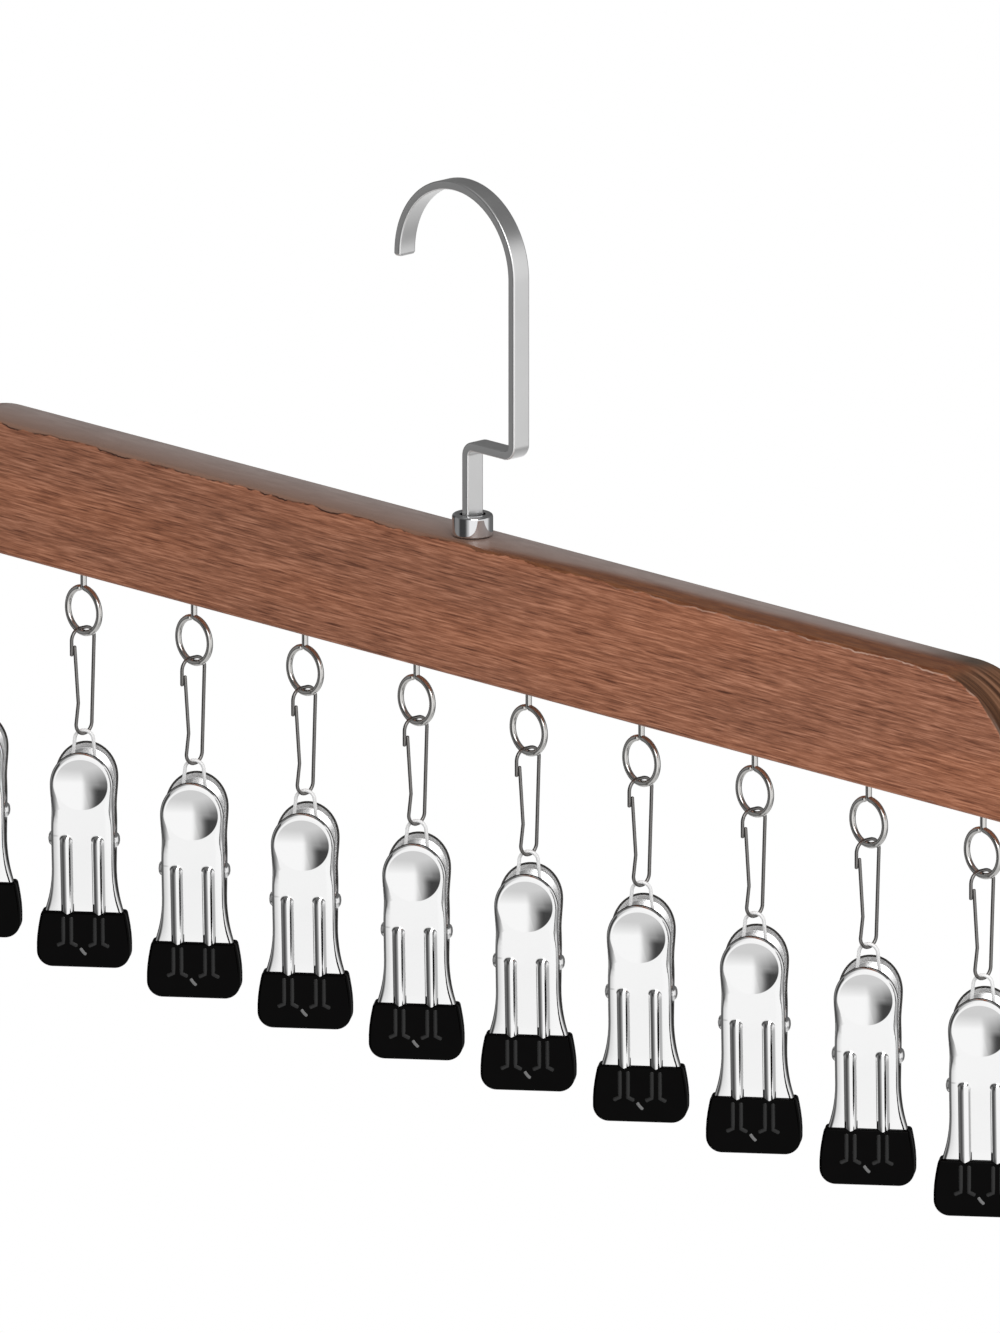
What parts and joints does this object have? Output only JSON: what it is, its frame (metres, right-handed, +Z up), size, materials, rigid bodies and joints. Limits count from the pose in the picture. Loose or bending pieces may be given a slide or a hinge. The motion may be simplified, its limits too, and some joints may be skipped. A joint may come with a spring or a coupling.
{
  "type": "multi-clip hanger",
  "caption": "Wooden hanger bar with a swivelling flat metal hook and a row of spring clips with black rubber grips, each hung from a screw eye on a long wire link.",
  "frame": {"origin": "top of the inside of the hook, in the middle of the strip's width, where the hanger rests on a rail", "axes": "+X along the bar, towards the side that the hook's upright stands on; +Y to the back, away from the clips' turned faces; +Z up"},
  "size_m": [0.4501, 0.021, 0.2512],
  "materials": {
    "stained_wood": "red-brown stained hardwood with a satin clear coat",
    "satin_nickel": "satin nickel plate",
    "chrome": "polished chrome",
    "nickel_wire": "bright nickel-plated wire",
    "plated_steel": "bright nickel-plated pressed sheet",
    "black_rubber": "glossy black non-slip sleeve"
  },
  "bodies": {
    "hook": {"hook": "satin_nickel", "hook_washer": "plated_steel", "hook_nut": "plated_steel"},
    "bar": {"bar": "stained_wood", "ferrule": "chrome"},
    "clip_01_link": {"clip_01_link": "nickel_wire"},
    "clip_01_front": {"clip_01_front_jaw": "plated_steel", "clip_01_front_grip": "black_rubber"},
    "clip_01_rear": {"clip_01_rear_jaw": "plated_steel", "clip_01_rear_grip": "black_rubber"},
    "clip_02_link": {"clip_02_link": "nickel_wire"},
    "clip_02_front": {"clip_02_front_jaw": "plated_steel", "clip_02_front_grip": "black_rubber"},
    "clip_02_rear": {"clip_02_rear_jaw": "plated_steel", "clip_02_rear_grip": "black_rubber"},
    "clip_03_link": {"clip_03_link": "nickel_wire"},
    "clip_03_front": {"clip_03_front_jaw": "plated_steel", "clip_03_front_grip": "black_rubber"},
    "clip_03_rear": {"clip_03_rear_jaw": "plated_steel", "clip_03_rear_grip": "black_rubber"},
    "clip_04_link": {"clip_04_link": "nickel_wire"},
    "clip_04_front": {"clip_04_front_jaw": "plated_steel", "clip_04_front_grip": "black_rubber"},
    "clip_04_rear": {"clip_04_rear_jaw": "plated_steel", "clip_04_rear_grip": "black_rubber"},
    "clip_05_link": {"clip_05_link": "nickel_wire"},
    "clip_05_front": {"clip_05_front_jaw": "plated_steel", "clip_05_front_grip": "black_rubber"},
    "clip_05_rear": {"clip_05_rear_jaw": "plated_steel", "clip_05_rear_grip": "black_rubber"},
    "clip_06_link": {"clip_06_link": "nickel_wire"},
    "clip_06_front": {"clip_06_front_jaw": "plated_steel", "clip_06_front_grip": "black_rubber"},
    "clip_06_rear": {"clip_06_rear_jaw": "plated_steel", "clip_06_rear_grip": "black_rubber"},
    "clip_07_link": {"clip_07_link": "nickel_wire"},
    "clip_07_front": {"clip_07_front_jaw": "plated_steel", "clip_07_front_grip": "black_rubber"},
    "clip_07_rear": {"clip_07_rear_jaw": "plated_steel", "clip_07_rear_grip": "black_rubber"},
    "clip_08_link": {"clip_08_link": "nickel_wire"},
    "clip_08_front": {"clip_08_front_jaw": "plated_steel", "clip_08_front_grip": "black_rubber"},
    "clip_08_rear": {"clip_08_rear_jaw": "plated_steel", "clip_08_rear_grip": "black_rubber"},
    "clip_09_link": {"clip_09_link": "nickel_wire"},
    "clip_09_front": {"clip_09_front_jaw": "plated_steel", "clip_09_front_grip": "black_rubber"},
    "clip_09_rear": {"clip_09_rear_jaw": "plated_steel", "clip_09_rear_grip": "black_rubber"},
    "clip_10_link": {"clip_10_link": "nickel_wire"},
    "clip_10_front": {"clip_10_front_jaw": "plated_steel", "clip_10_front_grip": "black_rubber"},
    "clip_10_rear": {"clip_10_rear_jaw": "plated_steel", "clip_10_rear_grip": "black_rubber"}
  },
  "joints": [
    {"name": "hook_swivel", "type": "hinge", "parent": "hook", "child": "bar", "pos_m": [0.00435, 0, -0.0966], "axis": [0, 0, 1], "continuous": true},
    {"name": "clip_01_swing", "type": "hinge", "parent": "bar", "child": "clip_01_link", "pos_m": [-0.19815, 0, -0.1538], "axis": [1, 0, 0], "range_deg": [-90, 90]},
    {"name": "clip_01_front_open", "type": "hinge", "parent": "clip_01_link", "child": "clip_01_front", "pos_m": [-0.19815, 0, -0.2126], "axis": [-0.766, -0.6428, 0], "range_deg": [0, 12], "stiffness_Nm_per_rad": 0.2, "springref_deg": -28.65},
    {"name": "clip_01_rear_open", "type": "hinge", "parent": "clip_01_link", "child": "clip_01_rear", "pos_m": [-0.19815, 0, -0.2126], "axis": [0.766, 0.6428, 0], "range_deg": [0, 12], "stiffness_Nm_per_rad": 0.2, "springref_deg": -28.65},
    {"name": "clip_02_swing", "type": "hinge", "parent": "bar", "child": "clip_02_link", "pos_m": [-0.15315, 0, -0.1538], "axis": [1, 0, 0], "range_deg": [-90, 90]},
    {"name": "clip_02_front_open", "type": "hinge", "parent": "clip_02_link", "child": "clip_02_front", "pos_m": [-0.15315, 0, -0.2126], "axis": [-0.766, -0.6428, 0], "range_deg": [0, 12], "stiffness_Nm_per_rad": 0.2, "springref_deg": -28.65},
    {"name": "clip_02_rear_open", "type": "hinge", "parent": "clip_02_link", "child": "clip_02_rear", "pos_m": [-0.15315, 0, -0.2126], "axis": [0.766, 0.6428, 0], "range_deg": [0, 12], "stiffness_Nm_per_rad": 0.2, "springref_deg": -28.65},
    {"name": "clip_03_swing", "type": "hinge", "parent": "bar", "child": "clip_03_link", "pos_m": [-0.10815, 0, -0.1538], "axis": [1, 0, 0], "range_deg": [-90, 90]},
    {"name": "clip_03_front_open", "type": "hinge", "parent": "clip_03_link", "child": "clip_03_front", "pos_m": [-0.10815, 0, -0.2126], "axis": [-0.766, -0.6428, 0], "range_deg": [0, 12], "stiffness_Nm_per_rad": 0.2, "springref_deg": -28.65},
    {"name": "clip_03_rear_open", "type": "hinge", "parent": "clip_03_link", "child": "clip_03_rear", "pos_m": [-0.10815, 0, -0.2126], "axis": [0.766, 0.6428, 0], "range_deg": [0, 12], "stiffness_Nm_per_rad": 0.2, "springref_deg": -28.65},
    {"name": "clip_04_swing", "type": "hinge", "parent": "bar", "child": "clip_04_link", "pos_m": [-0.06315, 0, -0.1538], "axis": [1, 0, 0], "range_deg": [-90, 90]},
    {"name": "clip_04_front_open", "type": "hinge", "parent": "clip_04_link", "child": "clip_04_front", "pos_m": [-0.06315, 0, -0.2126], "axis": [-0.766, -0.6428, 0], "range_deg": [0, 12], "stiffness_Nm_per_rad": 0.2, "springref_deg": -28.65},
    {"name": "clip_04_rear_open", "type": "hinge", "parent": "clip_04_link", "child": "clip_04_rear", "pos_m": [-0.06315, 0, -0.2126], "axis": [0.766, 0.6428, 0], "range_deg": [0, 12], "stiffness_Nm_per_rad": 0.2, "springref_deg": -28.65},
    {"name": "clip_05_swing", "type": "hinge", "parent": "bar", "child": "clip_05_link", "pos_m": [-0.01815, 0, -0.1538], "axis": [1, 0, 0], "range_deg": [-90, 90]},
    {"name": "clip_05_front_open", "type": "hinge", "parent": "clip_05_link", "child": "clip_05_front", "pos_m": [-0.01815, 0, -0.2126], "axis": [-0.766, -0.6428, 0], "range_deg": [0, 12], "stiffness_Nm_per_rad": 0.2, "springref_deg": -28.65},
    {"name": "clip_05_rear_open", "type": "hinge", "parent": "clip_05_link", "child": "clip_05_rear", "pos_m": [-0.01815, 0, -0.2126], "axis": [0.766, 0.6428, 0], "range_deg": [0, 12], "stiffness_Nm_per_rad": 0.2, "springref_deg": -28.65},
    {"name": "clip_06_swing", "type": "hinge", "parent": "bar", "child": "clip_06_link", "pos_m": [0.02685, 0, -0.1538], "axis": [1, 0, 0], "range_deg": [-90, 90]},
    {"name": "clip_06_front_open", "type": "hinge", "parent": "clip_06_link", "child": "clip_06_front", "pos_m": [0.02685, 0, -0.2126], "axis": [-0.766, -0.6428, 0], "range_deg": [0, 12], "stiffness_Nm_per_rad": 0.2, "springref_deg": -28.65},
    {"name": "clip_06_rear_open", "type": "hinge", "parent": "clip_06_link", "child": "clip_06_rear", "pos_m": [0.02685, 0, -0.2126], "axis": [0.766, 0.6428, 0], "range_deg": [0, 12], "stiffness_Nm_per_rad": 0.2, "springref_deg": -28.65},
    {"name": "clip_07_swing", "type": "hinge", "parent": "bar", "child": "clip_07_link", "pos_m": [0.07185, 0, -0.1538], "axis": [1, 0, 0], "range_deg": [-90, 90]},
    {"name": "clip_07_front_open", "type": "hinge", "parent": "clip_07_link", "child": "clip_07_front", "pos_m": [0.07185, 0, -0.2126], "axis": [-0.766, -0.6428, 0], "range_deg": [0, 12], "stiffness_Nm_per_rad": 0.2, "springref_deg": -28.65},
    {"name": "clip_07_rear_open", "type": "hinge", "parent": "clip_07_link", "child": "clip_07_rear", "pos_m": [0.07185, 0, -0.2126], "axis": [0.766, 0.6428, 0], "range_deg": [0, 12], "stiffness_Nm_per_rad": 0.2, "springref_deg": -28.65},
    {"name": "clip_08_swing", "type": "hinge", "parent": "bar", "child": "clip_08_link", "pos_m": [0.11685, 0, -0.1538], "axis": [1, 0, 0], "range_deg": [-90, 90]},
    {"name": "clip_08_front_open", "type": "hinge", "parent": "clip_08_link", "child": "clip_08_front", "pos_m": [0.11685, 0, -0.2126], "axis": [-0.766, -0.6428, 0], "range_deg": [0, 12], "stiffness_Nm_per_rad": 0.2, "springref_deg": -28.65},
    {"name": "clip_08_rear_open", "type": "hinge", "parent": "clip_08_link", "child": "clip_08_rear", "pos_m": [0.11685, 0, -0.2126], "axis": [0.766, 0.6428, 0], "range_deg": [0, 12], "stiffness_Nm_per_rad": 0.2, "springref_deg": -28.65},
    {"name": "clip_09_swing", "type": "hinge", "parent": "bar", "child": "clip_09_link", "pos_m": [0.16185, 0, -0.1538], "axis": [1, 0, 0], "range_deg": [-90, 90]},
    {"name": "clip_09_front_open", "type": "hinge", "parent": "clip_09_link", "child": "clip_09_front", "pos_m": [0.16185, 0, -0.2126], "axis": [-0.766, -0.6428, 0], "range_deg": [0, 12], "stiffness_Nm_per_rad": 0.2, "springref_deg": -28.65},
    {"name": "clip_09_rear_open", "type": "hinge", "parent": "clip_09_link", "child": "clip_09_rear", "pos_m": [0.16185, 0, -0.2126], "axis": [0.766, 0.6428, 0], "range_deg": [0, 12], "stiffness_Nm_per_rad": 0.2, "springref_deg": -28.65},
    {"name": "clip_10_swing", "type": "hinge", "parent": "bar", "child": "clip_10_link", "pos_m": [0.20685, 0, -0.1538], "axis": [1, 0, 0], "range_deg": [-90, 90]},
    {"name": "clip_10_front_open", "type": "hinge", "parent": "clip_10_link", "child": "clip_10_front", "pos_m": [0.20685, 0, -0.2126], "axis": [-0.766, -0.6428, 0], "range_deg": [0, 12], "stiffness_Nm_per_rad": 0.2, "springref_deg": -28.65},
    {"name": "clip_10_rear_open", "type": "hinge", "parent": "clip_10_link", "child": "clip_10_rear", "pos_m": [0.20685, 0, -0.2126], "axis": [0.766, 0.6428, 0], "range_deg": [0, 12], "stiffness_Nm_per_rad": 0.2, "springref_deg": -28.65}
  ],
  "couplings": [
    {"joint": "clip_01_rear_open", "follows": "clip_01_front_open", "ratio": 1},
    {"joint": "clip_02_rear_open", "follows": "clip_02_front_open", "ratio": 1},
    {"joint": "clip_03_rear_open", "follows": "clip_03_front_open", "ratio": 1},
    {"joint": "clip_04_rear_open", "follows": "clip_04_front_open", "ratio": 1},
    {"joint": "clip_05_rear_open", "follows": "clip_05_front_open", "ratio": 1},
    {"joint": "clip_06_rear_open", "follows": "clip_06_front_open", "ratio": 1},
    {"joint": "clip_07_rear_open", "follows": "clip_07_front_open", "ratio": 1},
    {"joint": "clip_08_rear_open", "follows": "clip_08_front_open", "ratio": 1},
    {"joint": "clip_09_rear_open", "follows": "clip_09_front_open", "ratio": 1},
    {"joint": "clip_10_rear_open", "follows": "clip_10_front_open", "ratio": 1}
  ]
}
